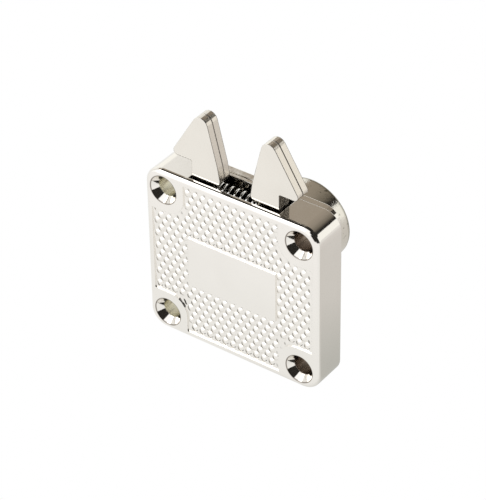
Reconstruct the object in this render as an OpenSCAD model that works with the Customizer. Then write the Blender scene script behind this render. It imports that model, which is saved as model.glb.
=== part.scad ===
// Roller shutter lock: flat die-cast case, two sprung double-plate hooks, key barrel behind.
// X runs along the top edge, Y from the studded front to the barrel, Z up towards the hooks.
// The origin is the centre of the four screw holes on the mounting face.

/* [Case] */
// Width of the case
case_w = 40; // [36:0.5:50]
// Height of the case
case_h = 37.5; // [36:0.5:46]
// Depth of the case, without the rear flange
case_d = 7.4; // [6.8:0.1:10]
// Corner radius seen from the front
case_r = 3.75; // [3:0.25:5]
// Rounding of the front edge
edge_r = 1.1; // [0.4:0.1:1.5]
// Thickness of the front wall
front_wall = 1.2; // [1:0.1:1.6]
// Thickness of the side walls
side_wall = 1.5; // [1.2:0.1:2]
// Width of the open slot in the top edge
slot_w = 20.8; // [20.8:0.1:22]

/* [Screw holes] */
// Distance of the holes from the case's left and right sides
hole_inset_x = 4.4; // [4.3:0.1:5.2]
// Distance of the holes from the case's top and bottom sides
hole_inset_z = 4.25; // [4.15:0.05:5]
// Bore of a screw hole
hole_d = 4; // [3:0.1:4.4]
// Mouth of the countersink
sink_d = 6.1; // [5.5:0.1:7]
// Depth of the countersink
sink_depth = 1.5; // [1:0.1:2]
// Pillar round a screw hole
pillar_d = 8.2; // [7.6:0.1:8.2]

/* [Studded face] */
// Distance between studs along a row
stud_pitch = 1.83; // [1.6:0.01:2.4]
// Distance between rows of studs
stud_row = 1.5; // [1.4:0.05:2]
// Diameter of a stud at its foot
stud_d = 1.5; // [1:0.05:1.5]
// Depth of the field's floor, from which the studs rise level with the border
field_depth = 0.28; // [0.15:0.01:0.35]
// Plain border round the studded field
border_w = 1.5; // [1.2:0.05:2.5]
// Side of the plain corner pad round a screw hole
hole_pad = 9.1; // [8.6:0.1:10]
// Rounding of the pad's inner corner
hole_pad_r = 4; // [2:0.25:4.5]
// Width of the plain panel in the middle
panel_w = 20.4; // [10:0.2:24]
// Height of the plain panel in the middle
panel_h = 11; // [6:0.5:14]

/* [Rear housing] */
// Thickness of the flange that closes the case
flange_t = 1.4; // [1.2:0.1:2]
// How far the flange stays inside the case's outline
flange_inset = 1; // [0.5:0.1:1.5]
// Corner radius of the flange
flange_r = 3.5; // [2.5:0.25:4]
// Thickness of the pad that nests in the case
pad_t = 0.9; // [0.6:0.1:1.2]
// Clearance of the pad in the case
pad_gap = 0.15; // [0.1:0.05:0.3]
// Diameter of the barrel
barrel_d = 18; // [17:0.5:20]
// Length of the barrel behind the mounting face
barrel_len = 18.4; // [18:0.2:26]
// Rounding of the barrel's rim
rim_r = 0.5; // [0.2:0.1:0.8]
// Distance from the case's top edge to the barrel's axis
backset = 20; // [19.6:0.1:21]

/* [Hooks] */
// Gap between the front wall and the hooks
hook_gap = 0.6; // [0.5:0.1:1]
// Thickness of one hook plate
plate_t = 1.55; // [1.2:0.05:1.6]
// Gap between the two plates of a hook
plate_gap = 0.1; // [0.05:0.05:0.2]
// Distance of each pivot from the middle
pivot_x = 6.7; // [6.6:0.1:7]
// Depth of the pivots below the case's top edge
pivot_drop = 12.75; // [12:0.25:13.5]
// Diameter of a pivot pin
pin_d = 3; // [2.5:0.1:3.2]
// Diameter of the hook's eye round its pin
eye_d = 6.8; // [6.4:0.1:7]
// Swing of each hook, in degrees
swing = 12; // [8:1:12]
// Rise of the hook's unrounded point above the case's top edge
apex_rise = 16.65; // [14:0.05:18]
// Distance of the hook's point from the middle
apex_x = 7.05; // [6.5:0.05:7.5]
// Rounding of the hook's point
apex_r = 1.7; // [1:0.05:2]
// Rise of the barb's underside above the case's top edge
barb_rise = 3.75; // [3:0.05:5]
// Distance of the barb's unrounded tip from the middle
barb_x = 14.85; // [13:0.05:16]
// Rounding of the barb's tip
barb_r = 0.9; // [0.3:0.1:1.1]
// Distance of the neck's outer side from the middle
neck_x = 9.95; // [9.4:0.05:10]
// Distance of the head's inner side from the middle, at the slot
inner_x = 3.3; // [2.9:0.1:3.6]
// Rounding of the head's inner lower corner
inner_r = 1.2; // [0.6:0.1:1.4]
// Width of the hook's tail
tail_w = 3; // [2.4:0.1:3]
// Diameter of the tail's round nose
nose_d = 3.2; // [3.1:0.1:3.6]
// Distance of the tail's nose from the middle
nose_x = 5.1; // [5:0.1:5.6]
// Diameter of the rivet that joins the two plates
rivet_d = 2; // [1.6:0.1:2.4]

/* [Hook spring] */
// Outer diameter of the spring
spring_d = 4; // [3.6:0.1:4.2]
// Wire of the spring
wire_d = 0.5; // [0.4:0.05:0.6]
// Number of turns
turns = 8; // [5:0.5:8]
// Length of the spring between the hooks
spring_len = 10; // [9.6:0.1:10.4]
// Depth of the spring's axis below the case's top edge
spring_drop = 2.2; // [2:0.05:3]

/* [Plug and cam] */
// Diameter of the plug
plug_d = 11; // [10.6:0.1:11.4]
// Diameter of the plug's head
head_d = 13; // [12.6:0.1:13.6]
// Length of the plug's head
head_len = 1.1; // [0.8:0.1:1.6]
// Width of the keyway
key_w = 2.2; // [1.8:0.1:2.6]
// Height of the keyway
key_h = 7.4; // [6.8:0.1:7.8]
// Quarter turn of the key, in degrees
key_turn = 90; // [60:5:90]
// Diameter of the tail that drives the cam
tail_d = 4.6; // [4:0.1:4.8]
// Distance across the tail's two flats
tail_flats = 3.6; // [3.2:0.1:3.8]
// Thickness of the cam
cam_t = 3; // [2.4:0.1:3.2]
// Diameter of the cam's hub
hub_d = 6; // [5.8:0.1:6.2]
// Diameter of the cam screw's shank
screw_d = 2.4; // [2:0.1:2.4]
// Diameter of the cam screw's head
screw_head_d = 4.4; // [3.6:0.1:4.6]

/* [Wafers] */
// Thickness of a wafer
wafer_t = 1; // [0.8:0.1:1]
// Width of a wafer
wafer_w = 4.4; // [4:0.1:4.6]
// Distance from one wafer to the next
wafer_pitch = 2.2; // [2:0.1:2.4]
// Travel of a wafer into its channel
wafer_lift = 0.7; // [0.4:0.1:0.8]
// Depth of the channels in the barrel's bore
channel_depth = 1.05; // [1:0.05:1.4]
// Outer diameter of a wafer's spring
wafer_spring_d = 0.9; // [0.7:0.05:0.9]
// Wire of a wafer's spring
wafer_wire_d = 0.2; // [0.15:0.05:0.2]

/* [Hidden] */
$fn = 64;
wafer_count = 5;

// Clearances
run_gap = 0.05;      // radial, round a pin or a turning plug
seat_gap = 0.02;     // radial, round a pressed pin
face_gap = 0.05;     // between flat faces that slide
cam_gap = 0.12;      // between the cam and a hook's nose
cut = 0.5;           // how far a cutting shape runs past the face it cuts

// Depths along Y: the front is at the most negative Y
rim_y = -flange_t;                  // where the case meets the flange
front_y = rim_y - case_d;           // studded face
inside_y = front_y + front_wall;    // inner side of the front wall
pad_y = rim_y - pad_t;              // inner side of the rear housing
stack_t = 2 * plate_t + plate_gap;
stack_front_y = inside_y + hook_gap;
stack_rear_y = stack_front_y + stack_t;
hook_mid_y = (stack_front_y + stack_rear_y) / 2;

// Heights along Z
top_z = case_h / 2;
axis_z = top_z - backset;           // barrel, plug and cam
pivot_z = top_z - pivot_drop;
spring_z = top_z - spring_drop;

// Case
cavity_w = case_w - 2 * side_wall;
cavity_h = case_h - 2 * side_wall;
cavity_r = case_r - side_wall;
eye_cover = 0.6;                    // how far an eye reaches past the boss beside it
boss_d = eye_d - 2 * eye_cover;     // bosses that the hooks turn between
stud_root = 0.1;                    // how far a stud reaches into the field's floor
hole_x = case_w / 2 - hole_inset_x;
hole_z = case_h / 2 - hole_inset_z;
pin_depth = (front_wall - field_depth) / 2;  // pin's blind hole in the front wall
pin_front_y = inside_y - pin_depth;
pin_rear_y = pad_y + (pad_t + flange_t) / 2;

// Stakes that are cast on the case and peened over behind the flange
stake_d = 2.6;
stake_boss_d = 5.2;
stake_head_d = 4.2;
stake_head_t = 0.6;
stake_inset = 4.6;                  // from the case's outer sides
stake_sites = [
    [-case_w / 2 + stake_inset, axis_z],
    [case_w / 2 - stake_inset, axis_z],
    [0, -case_h / 2 + stake_inset]
];

// Hooks
notch_gap = 0.2;                    // above and below the spring in its notch
notch_x = spring_len / 2;
notch_top_z = spring_z + spring_d / 2 + notch_gap;
notch_low_z = spring_z - spring_d / 2 - notch_gap;
cheek_rise = 4.15;                  // where the head's inner side leans outward
cheek_step = 0.65;                  // how far it has come outward there
cheek_x = inner_x + cheek_step;
waist_inset = 0.1;                  // from the eye's inner side
waist_x = pivot_x - eye_d / 2 + waist_inset;
corner_r = 0.3;                     // small inside corners
rivet_shift = 1;                    // from the middle between the pivot and the spring
rivet_z = (pivot_z + notch_low_z) / 2 + rivet_shift;
rivet_x = (waist_x + neck_x) / 2;
rivet_lip = 0.6;                    // how far a rivet's head reaches past its shank
rivet_head_d = rivet_d + 2 * rivet_lip;
rivet_head_t = 0.5;

// Springs
spring_end_gap = 0.05;
wafer_spring_gap = 0.02;
wafer_turns = 6;
closed_pitch = 1.2;                 // pitch of a closed turn, in diameters of the wire

// Plug
plug_y = pad_y;                     // inner end of the plug's body
plug_end_y = barrel_len - 0.1;      // key's mouth, just inside the barrel's rim
head_y = plug_end_y - head_len;
tail_inset = 1.2;                   // from the front of the hooks to the plug's tail
tail_front_y = stack_front_y + tail_inset;
keyway_y = 4.2;
screw_bite = 3;                     // length of the screw in the plug's body
screw_end_y = plug_y + screw_bite;
screw_end_gap = 0.3;
screw_head_t = 0.9;
wafer_start = 1.9;                  // from the plug's head to the first wafer
wafer_first_y = head_y - wafer_start;
wafer_r = plug_d / 2 - run_gap;
ear_w = 1.2;
ear_h = 1;
ear_z = 0.05;                       // underside of the ear at rest
pocket_z = -2.6;                    // seat of the wafer's spring
pocket_gap = 0.1;
ear_x = -(wafer_w + ear_w) / 2;     // middle of the ear and its spring
window_gap = 0.25;                  // on each side of the key
window_w = key_w + 2 * window_gap;
channel_gap = 0.1;                  // on each side of a wafer
window_h = 5.2;
window_shifts = [0.5, -0.2, 0.8, 0.1, 0.6];
function wafer_y(i) = wafer_first_y - (i - 1) * wafer_pitch;

// Cam: its radius grows evenly over the key's turn, to follow the noses outward
lever = [nose_x - pivot_x, axis_z - pivot_z];
function turned(p, a) = [p.x * cos(a) - p.y * sin(a), p.x * sin(a) + p.y * cos(a)];
function nose_at(a) = [pivot_x, pivot_z] + turned(lever, a) - [0, axis_z];
function nose_reach(a) = norm(nose_at(a)) - nose_d / 2 - cam_gap;
cam_r0 = nose_reach(0);
cam_r1 = nose_reach(swing);
cam_drop = 25;                      // degrees over which a lobe falls back
cam_step = 3;
cam_front_y = hook_mid_y - cam_t / 2;
cam_rear_y = hook_mid_y + cam_t / 2;

function unit(v) = v / norm(v);

// The points of an arc that rounds corner b, between a and c, to radius r
function rounded_corner(a, b, c, r, steps = 6) =
    r <= 0 ? [b] :
    let (u = unit(a - b), v = unit(c - b),
         half = acos(u * v) / 2,
         centre = b + unit(u + v) * r / sin(half),
         from = b + u * r / tan(half) - centre,
         to = b + v * r / tan(half) - centre,
         start = atan2(from.y, from.x),
         turn = atan2(from.x * to.y - from.y * to.x, from * to))
    [for (k = [0 : steps]) centre + r * [cos(start + turn * k / steps), sin(start + turn * k / steps)]];

// An outline from corners given as [x, z, rounding]
function rounded_outline(corners) =
    let (n = len(corners), at = [for (c = corners) [c[0], c[1]]])
    [for (i = [0 : n - 1])
        each rounded_corner(at[(i + n - 1) % n], at[i], at[(i + 1) % n], corners[i][2])];

function rounded_rectangle(x0, x1, z0, z1, r) =
    rounded_outline([[x0, z0, r], [x1, z0, r], [x1, z1, r], [x0, z1, r]]);

// Profile of a wall of width a and height t whose outer top edge is rounded to e
function edge_profile(a, t, e, steps = 6) =
    concat([[0, 0], [a, 0]],
           [for (k = [0 : steps]) [a - e + e * cos(90 * k / steps), t - e + e * sin(90 * k / steps)]],
           [[0, t]]);

// An outline drawn in X and Z, from y0 back to y1
module slab(y0, y1) {
    translate([0, y1, 0]) rotate([90, 0, 0]) linear_extrude(y1 - y0) children();
}

// A round rod along Y, whose diameter can change from d0 at y0 to d1 at y1
module rod(x, z, y0, y1, d0, d1 = undef) {
    translate([x, y1, z]) rotate([90, 0, 0])
        cylinder(h = y1 - y0, d1 = is_undef(d1) ? d0 : d1, d2 = d0);
}

// A block from y0 to y1 with round corners and a rounded front edge
module rounded_block(w, h, y0, y1, r, e) {
    t = y1 - y0;
    translate([0, y1, 0]) rotate([90, 0, 0]) {
        translate([r - w / 2, r - h / 2, 0]) cube([w - 2 * r, h - 2 * r, t]);
        for (k = [0 : 3]) {
            long = k % 2 == 0 ? w : h;
            wide = k % 2 == 0 ? h : w;
            rotate([0, 0, 90 * k]) translate([long / 2 - r, 0, 0]) {
                rotate([90, 0, 0]) linear_extrude(wide - 2 * r, center = true)
                    polygon(edge_profile(r, t, e));
                translate([0, wide / 2 - r, 0]) rotate_extrude(angle = 90)
                    polygon(edge_profile(r, t, e));
            }
        }
    }
}

module at_screw_holes() {
    for (sx = [-1, 1], sz = [-1, 1]) translate([sx * hole_x, 0, sz * hole_z]) children();
}

// The outline of the studded field, inside the border and round the pads and the panel
module stud_field() {
    difference() {
        square([case_w, case_h] - 2 * border_w * [1, 1], center = true);
        for (sx = [-1, 1], sz = [-1, 1]) translate([sx * case_w / 2, sz * case_h / 2])
            polygon(rounded_rectangle(-hole_pad, hole_pad, -hole_pad, hole_pad, hole_pad_r));
        square([panel_w, panel_h], center = true);
    }
}

// Whether a whole stud at x and z fits in the field
function stud_fits(x, z) =
    let (beside = abs(x) + stud_d / 2, above = abs(z) + stud_d / 2)
    beside < case_w / 2 - border_w && above < case_h / 2 - border_w
    && (beside < case_w / 2 - hole_pad || above < case_h / 2 - hole_pad)
    && (beside - stud_d > panel_w / 2 || above - stud_d > panel_h / 2);

// Round studs in staggered rows, cut from spheres that touch the plane of the border
module studs() {
    r = (pow(stud_d / 2, 2) + pow(field_depth, 2)) / (2 * field_depth);
    rows = ceil(case_h / stud_row / 2);
    columns = ceil(case_w / stud_pitch / 2);
    intersection() {
        for (row = [-rows : rows], column = [-columns : columns])
            let (x = (column + (row % 2 == 0 ? 0.5 : 0)) * stud_pitch, z = (row + 0.5) * stud_row)
            if (stud_fits(x, z)) translate([x, front_y + r, z]) sphere(r);
        slab(front_y, front_y + field_depth + stud_root)
            square([case_w, case_h], center = true);
    }
}

module case() {
    color("gainsboro") difference() {
        union() {
            studs();
            difference() {
                rounded_block(case_w, case_h, front_y, rim_y, case_r, edge_r);
                slab(front_y - cut, front_y + field_depth) stud_field();
                slab(inside_y, rim_y + cut)
                    polygon(rounded_rectangle(-cavity_w / 2, cavity_w / 2,
                                              -cavity_h / 2, cavity_h / 2, cavity_r));
                translate([-slot_w / 2, inside_y, 0])
                    cube([slot_w, case_d, top_z + cut]);
            }
            at_screw_holes() rod(0, 0, inside_y - front_wall / 2, rim_y, pillar_d);
            for (side = [-1, 1])
                rod(side * pivot_x, pivot_z, inside_y - cut, stack_front_y - face_gap, boss_d);
            for (site = stake_sites) {
                rod(site.x, site.y, inside_y - cut, pad_y, stake_boss_d);
                rod(site.x, site.y, pad_y - cut, -stake_head_t, stake_d);
                rod(site.x, site.y, -stake_head_t, -face_gap, stake_head_d);
            }
        }
        at_screw_holes() {
            rod(0, 0, front_y - cut, rim_y + cut, hole_d);
            rod(0, 0, front_y, front_y + sink_depth, sink_d, hole_d);
        }
        for (side = [-1, 1])
            rod(side * pivot_x, pivot_z, pin_front_y, rim_y, pin_d + 2 * seat_gap);
    }
}

module barrel_housing() {
    color("silver") difference() {
        union() {
            slab(pad_y, rim_y) difference() {
                union() {
                    polygon(rounded_rectangle(
                        pad_gap - cavity_w / 2, cavity_w / 2 - pad_gap,
                        pad_gap - cavity_h / 2, cavity_h / 2 - pad_gap, cavity_r - pad_gap));
                    translate([pad_gap - slot_w / 2, 0])
                        square([slot_w - 2 * pad_gap, top_z - pad_gap]);
                }
                for (sx = [-1, 1], sz = [-1, 1]) translate([sx * hole_x, sz * hole_z])
                    circle(d = pillar_d + 2 * pad_gap);
            }
            slab(rim_y, 0)
                polygon(rounded_rectangle(flange_inset - case_w / 2, case_w / 2 - flange_inset,
                                          flange_inset - case_h / 2, top_z, flange_r));
            translate([0, 0, axis_z]) rotate([-90, 0, 0]) rotate_extrude()
                polygon(edge_profile(barrel_d / 2, barrel_len, rim_r));
            for (side = [-1, 1])
                rod(side * pivot_x, pivot_z, stack_rear_y + face_gap, pad_y + cut, boss_d);
        }
        rod(0, axis_z, pad_y - cut, barrel_len + cut, plug_d + 2 * run_gap);
        rod(0, axis_z, head_y - face_gap, barrel_len + cut, head_d + 2 * run_gap);
        translate([0, 0, axis_z]) for (a = [0, 90]) rotate([0, a, 0]) channel();
        at_screw_holes() rod(0, 0, pad_y - cut, cut, hole_d);
        for (side = [-1, 1])
            rod(side * pivot_x, pivot_z, stack_rear_y, pin_rear_y, pin_d + 2 * seat_gap);
        for (site = stake_sites) {
            rod(site.x, site.y, pad_y - cut, cut, stake_d + 2 * seat_gap);
            rod(site.x, site.y, -stake_head_t - seat_gap, cut, stake_head_d + 2 * run_gap);
        }
    }
}

// A pair of channels across the barrel's bore that takes the ends of the wafers
module channel() {
    reach = plug_d / 2 + channel_depth;
    low_y = wafer_first_y - (wafer_count - 1) * wafer_pitch - wafer_t;
    translate([-wafer_w / 2 - channel_gap, low_y, -reach])
        cube([wafer_w + 2 * channel_gap, head_y - low_y, 2 * reach]);
}

module pivot_pin(side) {
    color("lightslategray") rod(side * pivot_x, pivot_z, pin_front_y, pin_rear_y, pin_d);
}

// Radius of the cam where it meets a nose after the key has turned by t degrees
function cam_radius(t) =
    t <= key_turn ? cam_r0 + (cam_r1 - cam_r0) * t / key_turn :
    t <= key_turn + cam_drop ? cam_r1 + (cam_r0 - cam_r1) * (t - key_turn) / cam_drop :
    cam_r0;

// The blank of a right hook plate, from y0 back to y1
module hook_blank(y0, y1) {
    nose = [nose_x, axis_z];
    eye = [pivot_x, pivot_z];
    across = [lever.y, -lever.x] / norm(lever) * tail_w / 2;
    slab(y0, y1) polygon(rounded_outline([
        [notch_x, notch_top_z, corner_r],
        [inner_x, notch_top_z, inner_r],
        [cheek_x, top_z + cheek_rise, 0],
        [apex_x, top_z + apex_rise, apex_r],
        [barb_x, top_z + barb_rise, barb_r],
        [neck_x, top_z + barb_rise, corner_r],
        [neck_x, pivot_z, 0],
        [waist_x, pivot_z, 0],
        [waist_x, notch_low_z, corner_r],
        [notch_x, notch_low_z, corner_r]
    ]));
    rod(eye.x, eye.y, y0, y1, eye_d);
    rod(nose.x, nose.y, y0, y1, nose_d);
    slab(y0, y1) polygon([nose + across, nose - across, eye - across, eye + across]);
}

// One plate of a hook: side is -1 for left and 1 for right
module hook_plate(side, front) {
    y0 = front ? stack_front_y : hook_mid_y + plate_gap / 2;
    y1 = y0 + plate_t;
    color("whitesmoke") difference() {
        mirrored(side) hook_blank(y0, y1);
        rod(side * pivot_x, pivot_z, y0 - cut, y1 + cut, pin_d + 2 * run_gap);
        rod(side * rivet_x, rivet_z, y0 - cut, y1 + cut, rivet_d + 2 * seat_gap);
        if (front)
            rod(side * rivet_x, rivet_z, y0, y0 + rivet_head_t,
                rivet_head_d + 2 * seat_gap, rivet_d + 2 * seat_gap);
        else
            rod(side * rivet_x, rivet_z, y1 - rivet_head_t, y1,
                rivet_d + 2 * seat_gap, rivet_head_d + 2 * seat_gap);
    }
}

// Mirrors its children in X where side is -1
module mirrored(side) {
    if (side < 0) mirror([1, 0, 0]) children();
    else children();
}

module hook_rivet(side) {
    x = side * rivet_x;
    color("gray") union() {
        rod(x, rivet_z, stack_front_y, stack_rear_y, rivet_d);
        rod(x, rivet_z, stack_front_y, stack_front_y + rivet_head_t, rivet_head_d, rivet_d);
        rod(x, rivet_z, stack_rear_y - rivet_head_t, stack_rear_y, rivet_d, rivet_head_d);
    }
}

// A coil along Z from 0 to length, with its first and last turn closed up
module coil(length, d, wire, turns, per_turn, sides) {
    rings = round(turns * per_turn);
    r = (d - wire) / 2;
    closed = closed_pitch * wire;
    free = length - wire - 2 * closed;
    function height(k) =
        let (t = k / per_turn)
        wire / 2 + closed * (min(t, 1) + max(0, t - turns + 1))
        + free * max(0, min(1, (t - 1) / (turns - 2)));
    points = [for (k = [0 : rings], s = [0 : sides - 1])
        let (a = 360 * k / per_turn, b = 360 * (s + 0.5) / sides,
             out = r + wire / 2 * cos(b))
        [out * cos(a), out * sin(a), height(k) + wire / 2 * sin(b)]];
    walls = [for (k = [0 : rings - 1], s = [0 : sides - 1])
        let (t = (s + 1) % sides, a = k * sides, b = a + sides)
        [a + s, a + t, b + t, b + s]];
    first = [for (s = [sides - 1 : -1 : 0]) s];
    last = [for (s = [0 : sides - 1]) rings * sides + s];
    polyhedron(points, concat(walls, [first, last]), convexity = 10);
}

module hook_spring() {
    color("darkgray") translate([spring_end_gap - spring_len / 2, hook_mid_y, spring_z])
        rotate([0, 90, 0])
        coil(spring_len - 2 * spring_end_gap, spring_d, wire_d, turns, per_turn = 20, sides = 8);
}

module plug() {
    color("khaki") difference() {
        union() {
            rod(0, axis_z, plug_y, head_y + cut, plug_d);
            rod(0, axis_z, head_y, plug_end_y, head_d);
            intersection() {
                rod(0, axis_z, tail_front_y, plug_y + cut, tail_d);
                translate([-tail_flats / 2, tail_front_y, axis_z - tail_d])
                    cube([tail_flats, plug_y + cut - tail_front_y, 2 * tail_d]);
            }
        }
        translate([-key_w / 2, keyway_y, axis_z - key_h / 2])
            cube([key_w, barrel_len, key_h]);
        rod(0, axis_z, tail_front_y - cut, screw_end_y + screw_end_gap, screw_d + 2 * seat_gap);
        for (i = [1 : wafer_count]) translate([0, wafer_y(i), axis_z]) {
            translate([-wafer_w / 2 - run_gap, -wafer_t / 2 - run_gap, -plug_d])
                cube([wafer_w + 2 * run_gap, wafer_t + 2 * run_gap, 2 * plug_d]);
            translate([ear_x - ear_w / 2 - pocket_gap, -wafer_t / 2 - run_gap, pocket_z])
                cube([ear_w + wafer_w / 2, wafer_t + 2 * run_gap,
                      ear_z + ear_h + wafer_lift + pocket_gap - pocket_z]);
        }
    }
}

module cam() {
    color("darkkhaki") difference() {
        union() {
            slab(cam_front_y, cam_rear_y) translate([0, axis_z]) polygon(
                [for (a = [0 : cam_step : 360 - cam_step])
                    cam_radius((360 - a) % 180) * [cos(a), sin(a)]]);
            rod(0, axis_z, cam_rear_y - cut, pad_y - 2 * face_gap, hub_d);
        }
        intersection() {
            rod(0, axis_z, tail_front_y - run_gap, pad_y + cut, tail_d + 2 * run_gap);
            translate([-tail_flats / 2 - run_gap, tail_front_y - run_gap, axis_z - tail_d])
                cube([tail_flats + 2 * run_gap, case_d, 2 * tail_d]);
        }
        rod(0, axis_z, cam_front_y - cut, tail_front_y, screw_d + 2 * run_gap);
        rod(0, axis_z, cam_front_y, cam_front_y + screw_head_t,
            screw_head_d + 2 * seat_gap, screw_d + 2 * seat_gap);
    }
}

module cam_screw() {
    color("dimgray") union() {
        rod(0, axis_z, cam_front_y, screw_end_y, screw_d);
        rod(0, axis_z, cam_front_y, cam_front_y + screw_head_t, screw_head_d, screw_d);
    }
}

module wafer(i) {
    color("goldenrod") translate([0, wafer_y(i), axis_z]) difference() {
        union() {
            intersection() {
                rod(0, 0, -wafer_t / 2, wafer_t / 2, 2 * wafer_r);
                translate([-wafer_w / 2, -wafer_t / 2, -plug_d])
                    cube([wafer_w, wafer_t, 2 * plug_d]);
            }
            translate([ear_x - ear_w / 2, -wafer_t / 2, ear_z])
                cube([ear_w + wafer_w / 4, wafer_t, ear_h]);
        }
        translate([-window_w / 2, -wafer_t, window_shifts[i - 1] - window_h / 2])
            cube([window_w, 2 * wafer_t, window_h]);
    }
}

module wafer_spring(i) {
    color("darkgray") translate([ear_x, wafer_y(i), axis_z + pocket_z + wafer_spring_gap])
        coil(ear_z - pocket_z - 2 * wafer_spring_gap, wafer_spring_d, wafer_wire_d,
             wafer_turns, per_turn = 10, sides = 6);
}

case();
barrel_housing();
pivot_pin(-1);  // pivot_pin_left
pivot_pin(1);  // pivot_pin_right
hook_plate(-1, true);  // hook_left_front
hook_plate(-1, false);  // hook_left_rear
hook_plate(1, true);  // hook_right_front
hook_plate(1, false);  // hook_right_rear
hook_rivet(-1);  // hook_rivet_left
hook_rivet(1);  // hook_rivet_right
hook_spring();
plug();
cam();
cam_screw();
for (i = [1 : wafer_count]) {
    wafer(i);
    wafer_spring(i);
}
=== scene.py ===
"""Looks of the roller shutter lock: bright nickel plating in a pale studio."""

import math

import bmesh
import bpy
from mathutils import Matrix, Vector


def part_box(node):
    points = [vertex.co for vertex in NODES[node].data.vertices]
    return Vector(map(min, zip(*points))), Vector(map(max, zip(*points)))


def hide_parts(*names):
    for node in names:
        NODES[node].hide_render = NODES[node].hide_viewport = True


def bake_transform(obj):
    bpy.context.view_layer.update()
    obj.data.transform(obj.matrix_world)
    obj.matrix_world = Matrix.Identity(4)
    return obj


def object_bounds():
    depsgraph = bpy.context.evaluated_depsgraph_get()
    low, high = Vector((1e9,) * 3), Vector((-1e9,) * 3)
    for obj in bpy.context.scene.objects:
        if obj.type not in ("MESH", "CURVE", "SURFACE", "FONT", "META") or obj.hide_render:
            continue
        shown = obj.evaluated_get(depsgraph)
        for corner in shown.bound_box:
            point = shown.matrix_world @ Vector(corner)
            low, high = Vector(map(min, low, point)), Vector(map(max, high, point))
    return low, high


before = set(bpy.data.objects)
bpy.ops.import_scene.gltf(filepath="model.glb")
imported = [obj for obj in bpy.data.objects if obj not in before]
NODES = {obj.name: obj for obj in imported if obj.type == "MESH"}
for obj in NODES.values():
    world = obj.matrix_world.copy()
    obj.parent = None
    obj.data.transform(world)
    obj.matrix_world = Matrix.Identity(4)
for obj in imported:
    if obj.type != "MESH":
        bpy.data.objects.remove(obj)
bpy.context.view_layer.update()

MM = 0.001
X, Y, Z = (1, 0, 0), (0, 1, 0), (0, 0, 1)

# Camera, solved from the photograph's corners, screw holes and barrel rim
CAMERA_PLACE = Vector((220.94, -304.33, 278.41)) * MM
CAMERA_AZIMUTH = 36.42
CAMERA_ELEVATION = 36.34
CAMERA_ROLL = -1.04
FOCAL_PIXELS = 2443.0
LONG_SIDE_PIXELS = 500.0
SENSOR = 36.0

# The case's face, in millimetres: the screw holes' middles, the radii of their bore, of their mouth
# and of the pad around, the edges of the panel and of the studded field, and the studs' spacing
HOLE_X, HOLE_Z = 15.6, 14.5
BORE_R, MOUTH_R, PAD_R = 2.0, 3.05, 5.0
PANEL_X, PANEL_Z = 10.2, 5.5
FIELD_X, FIELD_Z = 18.5, 17.25
STUD_X, STUD_Z = 1.83, 1.5

# Pairs of millimetres: where a look begins and where it is full. The face's looks go by depth, a
# bore's and a mouth's by the distance from it, the right bores' painted shade by the place across
# the case, and the barrel's mottling and dark rim line by depth.
FACE_DEPTH = (8.3, 8.5)
BORE_FADE, MOUTH_FADE = (0.12, 0.04), (0.14, 0.06)
RIGHT_SIDE = (-5, 5)
MOTTLED, BARREL_RIM = (9, 18), (17.4, 18.1)

# Relief that joins the studs, and leaning dark spots between them, a painted reflection of the dark
# room on the studs' steep sides, in millimetres: where a crest lies, and the weight of the wave
# that leans the other way
RELIEF_AT, RELIEF_LEAN, RELIEF_HEIGHT = (0.87, 0.28), 1.17, 0.06
SPOT_AT, SPOT_LEAN, SPOT_LEVEL = (0.31, 0.36), 0.43, (0.85, 1.35)
# Both begin this far from the panel, and are full this far from a pad and from any other edge
PANEL_GAP, PAD_FADE, FIELD_FADE = 0.05, 1.0, 0.8

# Grain in millimetres: the slow drift of the plating's colour, its waves, the finer ones of turned
# steel, brass and wire, and the grain and relief of a sheared edge and of the barrel, with specks
DRIFT, WAVES, FINE_WAVES = 8, 2.5, 0.6
SHEARED_GRAIN, SHEARED_RELIEF = 0.35, 0.02
BARREL_GRAIN, BARREL_RELIEF, SPECKS, SPECK_LEVEL = 0.4, 0.03, 0.9, (0.6, 0.68)
# Roughness added on a sheared edge and in the screw holes' bores
SHEARED_DULL, BORE_DULL = 0.16, 0.15
# Edge softening in millimetres, and the distance at which a mesh's corners are one
CASE_EDGE, HOUSING_EDGE, PLATE_EDGE = 0.12, 0.15, 0.25
WELD = 0.001

# How far a normal points along an axis where a look begins and where it is full: on the barrel's
# side, on a plate's edge, and on the part of that edge that faces right, which gets painted
# reflection
BARREL_SIDE, SHEARED_SIDE, FACING_RIGHT = (0.95, 0.7), (0.995, 0.975), (-0.1, 0.1)

# Tints on the plating, some of them painted light and shade
# Painted reflection: the dark spots between the studs
PAINTED_SPOT_REFLECTION = (0.3, 0.28, 0.25)
MOUTH_TINT = (0.3, 0.27, 0.24)
# Painted light and shade: the left bores painted lit, the right bores painted shade
LEFT_BORE_PAINTED_LIT, RIGHT_BORE_PAINTED_SHADE = (0.83, 0.81, 0.71), (0.36, 0.31, 0.27)
MOTTLED_TINT, SPECK_TINT, BARREL_RIM_TINT = (0.7, 0.68, 0.6), (0.3, 0.29, 0.25), (0.3, 0.29, 0.24)
# Painted reflection: the dark band on the rounding of the hooks' edges
SHEARED, ROLLED_PAINTED_DARK, NEAR_FACE = (0.78, 0.73, 0.66), (0.2, 0.18, 0.16), (0.8, 0.77, 0.72)

# Colours of the studio
WHITE = (1.0, 1.0, 1.0)
TAUPE = (0.36, 0.31, 0.25)
NEAR_BLACK = (0.022, 0.02, 0.017)

# The dark room that the plating reflects, from 0 at the far left to 1 at the far right
ROOM = [(0.27, TAUPE), (0.50, (0.30, 0.26, 0.21)), (0.64, (0.19, 0.165, 0.13)), (0.74, NEAR_BLACK)]
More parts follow.
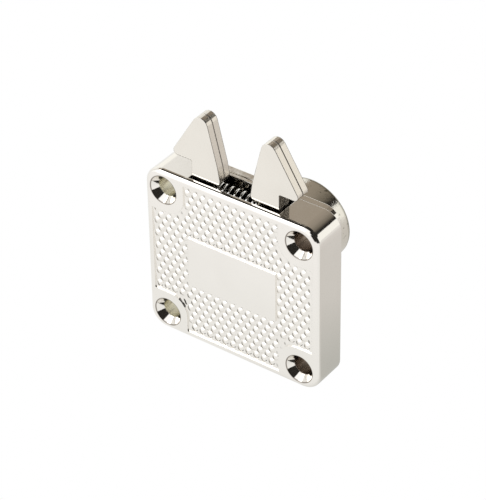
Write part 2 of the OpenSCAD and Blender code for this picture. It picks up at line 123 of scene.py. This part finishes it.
# What stands in the room, the nearest last: a colour, and the bounds that it keeps to. A bound is
# an axis, and how far along it a unit direction points where the colour begins and is full
STUDIO = (
    # Dark overhead
    (NEAR_BLACK, [(Z, 0.78, 0.84)]),
    # Paper at the left, up to a soft edge
    ((0.9, 0.89, 0.86), [((-0.804, -0.595, 0), -0.01, 0.02), (Z, 0.68, 0.62)]),
    # Paper behind, up to a sharp edge
    ((1.06, 1.05, 1.0), [(Z, 0.47, 0.44), (Y, 0.0, 0.2)]),
    # The big soft light in front at the left
    ((1.15, 1.15, 1.15), [(Y, -0.24, -0.34), (X, 0.24, 0.18)]),
    # The dark behind the camera
    (NEAR_BLACK, [(Y, -0.1, -0.3), (X, 0.18, 0.24)]),
)
# Strength of the plain white light from all around
WORLD_LIGHT = 0.75

# The floor's size and its gap under the lock, in metres
FLOOR_SIZE, FLOOR_GAP = 6.0, 0.0005
FLOOR_COLOUR = (0.9, 0.9, 0.9)
# The floor as the plating reflects it: in front of the lock, near it and far off, and behind it,
# from SHADE_MIDDLE out to SHADE_REACH. Bounds as in STUDIO, but in metres.
FRONT_NEAR, FRONT_FAR = (0.93, 0.93, 0.915), (1.0, 0.99, 0.98)
FRONT_FAR_BOUNDS = [(Y, -0.01, -0.06)]
SHADE_BOUNDS = [((0.9, 0.43, 0), -0.02, 0.015), (Y, -0.012, -0.003)]
SHADE_MIDDLE = Vector((18, 0, 0)) * MM
SHADE_REACH = 0.25
SHADE = [
    (0.02, (0.53, 0.53, 0.50)),
    (0.10, (0.66, 0.64, 0.61)),
    (0.25, (0.71, 0.68, 0.65)),
    (0.85, (0.80, 0.78, 0.75)),
    (1.00, (0.86, 0.84, 0.81)),
]

# The lamp, in metres and watts
KEY_PLACE, KEY_SIZE, KEY_POWER = (-0.35, -0.45, 0.45), 0.5, 1.0


class Tree:
    """The shader nodes of a material or a world.

    A value is a socket, or a constant: a number, a vector or a colour of three parts.
    """

    def __init__(self, owner):
        owner.use_nodes = True
        self.nodes, self.links = owner.node_tree.nodes, owner.node_tree.links
        self.nodes.clear()

    def add(self, kind, **settings):
        node = self.nodes.new(f"ShaderNode{kind}")
        for name, value in settings.items():
            setattr(node, name, value)
        return node

    def put(self, value, socket):
        if isinstance(value, bpy.types.NodeSocket):
            self.links.new(value, socket)
        elif socket.type == "RGBA":
            socket.default_value = (*value, 1.0)
        else:
            socket.default_value = value

    def maths(self, operation, *values):
        node = self.add("Math", operation=operation)
        for value, socket in zip(values, node.inputs):
            self.put(value, socket)
        return node.outputs["Value"]

    def product(self, first, *others):
        for value in others:
            first = self.maths("MULTIPLY", first, value)
        return first

    def vector_maths(self, operation, *values):
        node = self.add("VectorMath", operation=operation)
        for value, socket in zip(values, node.inputs):
            self.put(value, socket)
        return node.outputs["Value" if operation in ("DOT_PRODUCT", "DISTANCE") else "Vector"]

    def along(self, vector, direction):
        return self.vector_maths("DOT_PRODUCT", vector, direction)

    def between(self, value, low, high):
        node = self.add("MapRange")
        self.put(value, node.inputs["Value"])
        self.put(low, node.inputs["To Min"])
        self.put(high, node.inputs["To Max"])
        return node.outputs["Result"]

    def step(self, value, start, full):
        """0 where the value is at start and 1 where it is at full, with soft ends."""
        node = self.add("MapRange", interpolation_type="SMOOTHSTEP")
        self.put(value, node.inputs["Value"])
        self.put(start, node.inputs["From Min"])
        self.put(full, node.inputs["From Max"])
        return node.outputs["Result"]

    def step_mm(self, value, start, full):
        return self.step(value, start * MM, full * MM)

    def inside(self, place, bounds):
        """1 where the place keeps to every bound."""
        return self.product(*(self.step(self.along(place, axis), *ends) for axis, *ends in bounds))

    def noise(self, place, size_mm, detail):
        node = self.add("TexNoise")
        self.put(place, node.inputs["Vector"])
        self.put(1.0 / (size_mm * MM), node.inputs["Scale"])
        self.put(detail, node.inputs["Detail"])
        return node.outputs["Fac"]

    def ramp(self, value, stops):
        node = self.add("ValToRGB")
        elements = node.color_ramp.elements
        while len(elements) < len(stops):
            elements.new(0.5)
        for element, (position, colour) in zip(elements, stops):
            element.position = position
            element.color = (*colour, 1.0)
        self.put(value, node.inputs["Fac"])
        return node.outputs["Color"]

    def mixed(self, share, one, two):
        """Colour one, and two where the share is 1. Sockets go by number: their names repeat."""
        node = self.add("Mix", data_type="RGBA")
        for value, socket in ((share, 0), (one, 6), (two, 7)):
            self.put(value, node.inputs[socket])
        return node.outputs[2]

    def rounded(self, radius_mm):
        """Normals as if the edges had this radius."""
        node = self.add("Bevel", samples=8)
        self.put(radius_mm * MM, node.inputs["Radius"])
        return node.outputs["Normal"]

    def glow(self, kind, colour, strength=1.0):
        """Light of this colour, from an Emission or a Background."""
        node = self.add(kind)
        self.put(colour, node.inputs["Color"])
        self.put(strength, node.inputs["Strength"])
        return node.outputs[0]

    def show(self, kind, shader, reflected, seen):
        """Puts out the shader, but the others where a reflection or the camera looks at it."""
        path = self.add("LightPath")
        for ray, other in (("Is Glossy Ray", reflected), ("Is Camera Ray", seen)):
            mix = self.add("MixShader")
            for value, socket in ((path.outputs[ray], 0), (shader, 1), (other, 2)):
                self.put(value, mix.inputs[socket])
            shader = mix.outputs["Shader"]
        self.put(shader, self.add(kind).inputs["Surface"])


def plated(name, colour, dark, roughness, grain_mm=WAVES, dent=0.05, extras=None, soft_mm=0):
    """Bright plating: its colour drifts a little, its gloss is uneven and its skin is wavy.

    extras takes the tree, the place on the piece and the three values so far: colour, roughness
    and height in metres. It gives these three back as they are on this piece.
    """
    material = bpy.data.materials.new(name)
    tree = Tree(material)
    place = tree.add("TexCoord").outputs["Object"]
    tint = tree.ramp(tree.noise(place, DRIFT, 3), [(0.3, dark), (0.6, colour)])
    waves = tree.noise(place, grain_mm, 2)
    gloss = tree.between(waves, roughness * 0.7, roughness * 1.3)
    height = tree.maths("MULTIPLY", waves, dent * MM)
    if extras:
        tint, gloss, height = extras(tree, place, tint, gloss, height)
    bump = tree.add("Bump")
    tree.put(1.0, bump.inputs["Strength"])
    tree.put(1.0, bump.inputs["Distance"])
    tree.put(height, bump.inputs["Height"])
    if soft_mm:
        tree.put(tree.rounded(soft_mm), bump.inputs["Normal"])
    shader = tree.add("BsdfPrincipled")
    tree.put(1.0, shader.inputs["Metallic"])
    tree.put(tint, shader.inputs["Base Color"])
    tree.put(gloss, shader.inputs["Roughness"])
    tree.put(bump.outputs["Normal"], shader.inputs["Normal"])
    tree.put(shader.outputs["BSDF"], tree.add("OutputMaterial").inputs["Surface"])
    return material


def sheared_edge(tree, place, tint, gloss, height):
    """Punched plate: duller along its edge, and painted dark where the edge rolls over, a painted
    reflection.
    """
    local = tree.add(
        "VectorTransform", vector_type="NORMAL", convert_from="WORLD", convert_to="OBJECT"
    )
    tree.put(tree.rounded(PLATE_EDGE), local.inputs["Vector"])
    facing = local.outputs["Vector"]
    flat = tree.maths("ABSOLUTE", tree.along(facing, Y))
    # Painted reflection: the rounding of an edge that faces right is painted dark by the way its
    # normal faces
    edge = tree.ramp(flat, [(0.12, SHEARED), (0.3, ROLLED_PAINTED_DARK), (0.9, ROLLED_PAINTED_DARK), (0.985, NEAR_FACE)])
    faces_right = tree.step(tree.along(facing, X), *FACING_RIGHT)
    mask = tree.product(tree.step(flat, *SHEARED_SIDE), faces_right)
    fine = tree.product(tree.noise(place, SHEARED_GRAIN, 2), mask)
    return (
        tree.mixed(mask, tint, edge),
        tree.maths("MULTIPLY_ADD", mask, SHEARED_DULL, gloss),
        tree.maths("MULTIPLY_ADD", fine, SHEARED_RELIEF * MM, height),
    )


def turned_barrel(tree, place, tint, gloss, height):
    """The housing: the side of its barrel is mottled, and darkens towards the rolled rim."""
    side = tree.step(tree.along(tree.add("TexCoord").outputs["Normal"], Y), *BARREL_SIDE)
    depth = tree.along(place, Y)
    far = tree.product(tree.step_mm(depth, *MOTTLED), side)
    rim = tree.product(tree.step_mm(depth, *BARREL_RIM), side)
    specks = tree.product(tree.step(tree.noise(place, SPECKS, 4), *SPECK_LEVEL), far)
    fine = tree.product(tree.noise(place, BARREL_GRAIN, 3), far)
    tint = tree.mixed(tree.product(far, 0.5), tint, MOTTLED_TINT)
    tint = tree.mixed(specks, tint, SPECK_TINT)
    tint = tree.mixed(rim, tint, BARREL_RIM_TINT)
    return tint, gloss, tree.maths("MULTIPLY_ADD", fine, BARREL_RELIEF * MM, height)


def stud_waves(tree, place, crest, lean):
    """Two crossing waves on the studs' spacing, with a crest at crest in millimetres."""
    crest = Vector((crest[0], 0, crest[1])) * MM
    waves = []
    for up in (1, -1):
        turns = Vector((2 * math.pi / STUD_X, 0, up * math.pi / STUD_Z)) / MM
        phase = tree.maths("SUBTRACT", tree.along(place, turns), turns.dot(crest))
        waves.append(tree.maths("COSINE", phase))
    return tree.maths("MULTIPLY_ADD", waves[1], lean, waves[0])


def cast_face(tree, place, tint, gloss, height):
    """The case: dull bores, painted lit at the left and painted shade at the right, dark lines
    round their mouths, softer relief round the studs and painted dark reflections between them.
    """
    quarter = tree.vector_maths("ABSOLUTE", place)
    across, depth, up = (tree.along(quarter, axis) for axis in (X, Y, Z))
    flat = tree.vector_maths("MULTIPLY", quarter, (1, 0, 1))
    reach = tree.vector_maths("DISTANCE", flat, Vector((HOLE_X, 0, HOLE_Z)) * MM)
    front = tree.step_mm(depth, *FACE_DEPTH)
    right = tree.step_mm(tree.along(place, X), *RIGHT_SIDE)

    past_panel = tree.maths(
        "MAXIMUM",
        tree.maths("SUBTRACT", across, PANEL_X * MM),
        tree.maths("SUBTRACT", up, PANEL_Z * MM),
    )
    field = tree.product(
        front,
        tree.step_mm(reach, PAD_R, PAD_R + PAD_FADE),
        tree.step_mm(across, FIELD_X, FIELD_X - FIELD_FADE),
        tree.step_mm(up, FIELD_Z, FIELD_Z - FIELD_FADE),
        tree.step_mm(past_panel, PANEL_GAP, FIELD_FADE),
    )
    relief = stud_waves(tree, place, RELIEF_AT, RELIEF_LEAN)
    relief = tree.product(relief, RELIEF_HEIGHT * MM, field)
    painted_spots = tree.step(stud_waves(tree, place, SPOT_AT, SPOT_LEAN), *SPOT_LEVEL)
    # Painted reflection: the dark room seen in the studs' steep sides, painted into the colour as
    # dark spots
    tint = tree.mixed(tree.product(painted_spots, field), tint, PAINTED_SPOT_REFLECTION)

    off_mouth = tree.maths("ABSOLUTE", tree.maths("SUBTRACT", reach, MOUTH_R * MM))
    tint = tree.mixed(tree.product(tree.step_mm(off_mouth, *MOUTH_FADE), front), tint, MOUTH_TINT)
    bore = tree.step_mm(reach, *(BORE_R + fade for fade in BORE_FADE))
    # Painted light and shade in the bores: lit at the left, shade at the right
    return (
        tree.mixed(bore, tint, tree.mixed(right, LEFT_BORE_PAINTED_LIT, RIGHT_BORE_PAINTED_SHADE)),
        tree.maths("MULTIPLY_ADD", bore, BORE_DULL, gloss),
        tree.maths("ADD", height, relief),
    )


def split_spring(material):
    """The hooks' spring cut at its middle into two pieces of its own, in place of the whole spring.
    """
    low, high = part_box("hook_spring")
    middle = (low + high) / 2
    for side, end_x in (("left", low.x), ("right", high.x)):
        coil = bmesh.new()
        coil.from_mesh(NODES["hook_spring"].data)
        bmesh.ops.remove_doubles(coil, verts=coil.verts, dist=WELD * MM)
        bmesh.ops.bisect_plane(
            coil,
            geom=[*coil.verts, *coil.edges, *coil.faces],
            plane_co=middle,
            plane_no=(middle.x - end_x, 0, 0),
            clear_outer=True,
        )
        bmesh.ops.holes_fill(coil, edges=[edge for edge in coil.edges if edge.is_boundary])
        for face in coil.faces:
            # Only the fill of the fresh cut has more than four corners, and it stays flat
            face.smooth = len(face.verts) < 5
        mesh = bpy.data.meshes.new(f"hook_coil_{side}")
        coil.to_mesh(mesh)
        coil.free()
        # The cut wire is shaded by its own faces, not by the normals stored with the node
        if "custom_normal" in mesh.attributes:
            mesh.attributes.remove(mesh.attributes["custom_normal"])
        mesh.materials.append(material)
        half = bpy.data.objects.new(mesh.name, mesh)
        bpy.context.collection.objects.link(half)
        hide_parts("hook_spring")
        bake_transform(half)


def make_camera():
    data = bpy.data.cameras.new("camera")
    data.sensor_width = SENSOR
    data.lens = FOCAL_PIXELS / LONG_SIDE_PIXELS * SENSOR
    data.clip_start, data.clip_end = 0.01, 20.0
    camera = bpy.data.objects.new("camera", data)
    bpy.context.collection.objects.link(camera)
    azimuth, elevation = math.radians(CAMERA_AZIMUTH), math.radians(CAMERA_ELEVATION)
    back = Vector(
        (
            math.sin(azimuth) * math.cos(elevation),
            -math.cos(azimuth) * math.cos(elevation),
            math.sin(elevation),
        )
    )
    right = Vector((math.cos(azimuth), math.sin(azimuth), 0.0))
    up = back.cross(right)
    turn = Matrix((right, up, back)).transposed().to_4x4()
    roll = Matrix.Rotation(math.radians(CAMERA_ROLL), 4, "Z")
    camera.matrix_world = Matrix.Translation(CAMERA_PLACE) @ turn @ roll
    bpy.context.scene.camera = camera


def make_floor():
    """White paper: white to the eye, and a little shaded behind the lock where it is reflected."""
    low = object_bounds()[0].z
    bpy.ops.mesh.primitive_plane_add(size=FLOOR_SIZE, location=(0, 0, low - FLOOR_GAP))
    floor = bpy.context.object
    floor.name = "floor"
    material = bpy.data.materials.new("floor_white")
    tree = Tree(material)
    place = tree.add("TexCoord").outputs["Object"]
    reach = tree.maths("DIVIDE", tree.vector_maths("DISTANCE", place, SHADE_MIDDLE), SHADE_REACH)
    front = tree.mixed(tree.inside(place, FRONT_FAR_BOUNDS), FRONT_NEAR, FRONT_FAR)
    paper = tree.mixed(tree.inside(place, SHADE_BOUNDS), front, tree.ramp(reach, SHADE))
    shader = tree.add("BsdfDiffuse")
    tree.put(FLOOR_COLOUR, shader.inputs["Color"])
    tree.show(
        "OutputMaterial",
        shader.outputs["BSDF"],
        reflected=tree.glow("Emission", paper),
        seen=tree.glow("Emission", WHITE),
    )
    floor.data.materials.append(material)


def make_world():
    """The studio as the plating reflects it: a dark room, white paper behind and at the left."""
    world = bpy.data.worlds.new("studio")
    bpy.context.scene.world = world
    tree = Tree(world)
    way = tree.add("TexCoord").outputs["Generated"]
    across = tree.maths("MULTIPLY_ADD", tree.along(way, X), 0.5, 0.5)
    sight = tree.ramp(across, ROOM)
    for colour, bounds in STUDIO:
        sight = tree.mixed(tree.inside(way, bounds), sight, colour)
    tree.show(
        "OutputWorld",
        tree.glow("Background", WHITE, WORLD_LIGHT),
        reflected=tree.glow("Background", sight),
        seen=tree.glow("Background", WHITE),
    )


def make_key_light():
    """The lamp in front at the left, turned to the lock."""
    data = bpy.data.lights.new("key", "AREA")
    data.size = KEY_SIZE
    data.energy = KEY_POWER
    lamp = bpy.data.objects.new("key", data)
    bpy.context.collection.objects.link(lamp)
    lamp.location = KEY_PLACE
    lamp.rotation_euler = (-Vector(KEY_PLACE)).to_track_quat("-Z", "Y").to_euler()


nickel_case = plated(
    "nickel_case",
    (0.885, 0.86, 0.82),
    (0.865, 0.84, 0.80),
    0.08,
    dent=0.012,
    extras=cast_face,
    soft_mm=CASE_EDGE,
)
nickel_housing = plated(
    "nickel_housing",
    (0.87, 0.84, 0.79),
    (0.84, 0.81, 0.76),
    0.08,
    dent=0.02,
    extras=turned_barrel,
    soft_mm=HOUSING_EDGE,
)
nickel_plug = plated("nickel_plug", (0.87, 0.84, 0.79), (0.82, 0.79, 0.73), 0.12, dent=0.01)
nickel_hook = plated(
    "nickel_hook",
    (0.83, 0.80, 0.74),
    (0.80, 0.77, 0.71),
    0.10,
    dent=0.012,
    extras=sheared_edge,
    soft_mm=PLATE_EDGE,
)
steel = plated("turned_steel", (0.62, 0.61, 0.6), (0.5, 0.49, 0.48), 0.25, grain_mm=FINE_WAVES)
spring_wire = plated(
    "spring_wire", (0.92, 0.92, 0.91), (0.84, 0.84, 0.83), 0.12, grain_mm=FINE_WAVES, dent=0.005
)
brass = plated("brass", (0.83, 0.65, 0.36), (0.7, 0.52, 0.26), 0.25, grain_mm=FINE_WAVES)

# The first entry that a node's name begins with is its finish
FINISHES = (
    (("case",), nickel_case),
    (("barrel_housing",), nickel_housing),
    (("plug",), nickel_plug),
    (("hook_rivet", "pivot_pin", "cam_screw"), steel),
    (("hook_spring", "wafer_spring"), spring_wire),
    (("hook",), nickel_hook),
    (("cam", "wafer"), brass),
)
for name, node in NODES.items():
    node.data.materials.clear()
    node.data.materials.append(next(look for names, look in FINISHES if name.startswith(names)))

split_spring(spring_wire)
make_camera()
make_floor()
make_world()
make_key_light()
bpy.context.scene.view_settings.view_transform = "Standard"
